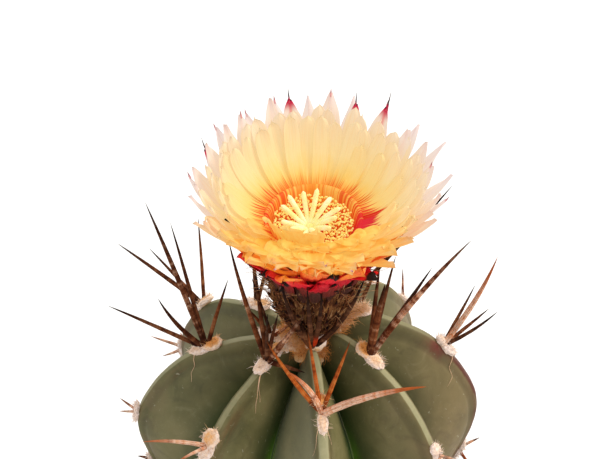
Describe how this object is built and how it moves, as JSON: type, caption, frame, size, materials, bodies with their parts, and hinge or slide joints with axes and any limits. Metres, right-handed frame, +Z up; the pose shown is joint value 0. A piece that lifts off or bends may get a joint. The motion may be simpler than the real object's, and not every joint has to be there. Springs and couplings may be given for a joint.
{
  "type": "potted cactus in flower",
  "caption": "Round, deeply ribbed cactus with woolly, spiny areoles and one large open flower, growing in gritty soil in a plain terracotta pot; stands on a surface as decoration.",
  "frame": {"origin": "on the floor, under the middle of the pot", "axes": "+Z up along the axis of the pot and the stem, +X to the right and +Y away from the viewer, as the plant is pictured; the flower leans to -Y"},
  "size_m": [0.1316, 0.132, 0.2697],
  "materials": {
    "terracotta": "matt, unglazed",
    "gritty_soil": "rough grit",
    "stem_skin": "satin",
    "areole_wool_and_spines": "felted wool with satin spines",
    "crown_wool": "matt felt",
    "tube_scales": "matt",
    "petals": "silky",
    "anthers": "matt, powdery",
    "stigma": "matt"
  },
  "bodies": {
    "root": {"pot": "terracotta", "soil": "gritty_soil", "stem": "stem_skin", "flower_tube": "tube_scales", "petals": "petals", "stamens": "anthers", "pistil": "stigma", "crown_wool": "crown_wool", "areole_rib_1_1": "areole_wool_and_spines", "areole_rib_1_2": "areole_wool_and_spines", "areole_rib_1_3": "areole_wool_and_spines", "areole_rib_1_4": "areole_wool_and_spines", "areole_rib_2_1": "areole_wool_and_spines", "areole_rib_2_2": "areole_wool_and_spines", "areole_rib_2_3": "areole_wool_and_spines", "areole_rib_2_4": "areole_wool_and_spines", "areole_rib_3_1": "areole_wool_and_spines", "areole_rib_3_2": "areole_wool_and_spines", "areole_rib_3_3": "areole_wool_and_spines", "areole_rib_3_4": "areole_wool_and_spines", "areole_rib_4_1": "areole_wool_and_spines", "areole_rib_4_2": "areole_wool_and_spines", "areole_rib_4_3": "areole_wool_and_spines", "areole_rib_4_4": "areole_wool_and_spines", "areole_rib_5_1": "areole_wool_and_spines", "areole_rib_5_2": "areole_wool_and_spines", "areole_rib_5_3": "areole_wool_and_spines", "areole_rib_5_4": "areole_wool_and_spines", "areole_rib_6_1": "areole_wool_and_spines", "areole_rib_6_2": "areole_wool_and_spines", "areole_rib_6_3": "areole_wool_and_spines", "areole_rib_6_4": "areole_wool_and_spines", "areole_rib_7_1": "areole_wool_and_spines", "areole_rib_7_2": "areole_wool_and_spines", "areole_rib_7_3": "areole_wool_and_spines", "areole_rib_7_4": "areole_wool_and_spines", "areole_rib_7_5": "areole_wool_and_spines", "areole_rib_8_1": "areole_wool_and_spines", "areole_rib_8_2": "areole_wool_and_spines", "areole_rib_8_3": "areole_wool_and_spines", "areole_rib_8_4": "areole_wool_and_spines"}
  },
  "joints": []
}
